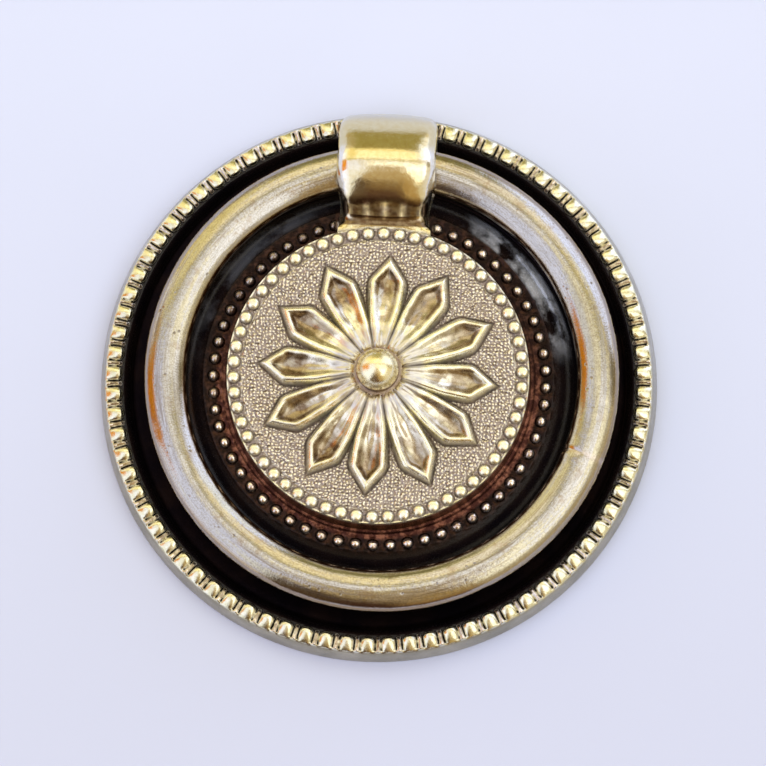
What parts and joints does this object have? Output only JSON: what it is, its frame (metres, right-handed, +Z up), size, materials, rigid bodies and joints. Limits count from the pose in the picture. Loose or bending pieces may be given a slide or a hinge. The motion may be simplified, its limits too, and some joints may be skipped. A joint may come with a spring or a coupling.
{
  "type": "ring pull handle",
  "caption": "Round drawer pull: a hanging ring on a cast knuckle over a beaded stamped backplate with a raised petal rosette in the middle.",
  "frame": {"origin": "mouth of the tapped hole, in the back plane of the handle, at the middle of the round plate", "axes": "+Z up the drawer front, +X to the right of someone facing the drawer, +Y into the drawer front; the face with the rosette looks towards -Y"},
  "size_m": [0.06, 0.012, 0.06],
  "materials": {
    "backplate": "stamped brass, black-brown lacquer in the channel and on the land, rim beads rubbed back to gold",
    "rosette_casting": "cast, antiqued brass with dark patina in the recesses and polished high spots",
    "pull_ring": "worn, pale silver-grey brass with gold showing through"
  },
  "bodies": {
    "plate": {"backplate": "backplate", "rosette_casting": "rosette_casting"},
    "ring": {"pull_ring": "pull_ring"}
  },
  "joints": [
    {"name": "ring_swing", "type": "hinge", "parent": "plate", "child": "ring", "pos_m": [0, -0.0055, 0.02265], "axis": [-1, 0, 0], "range_deg": [-2, 175]}
  ]
}
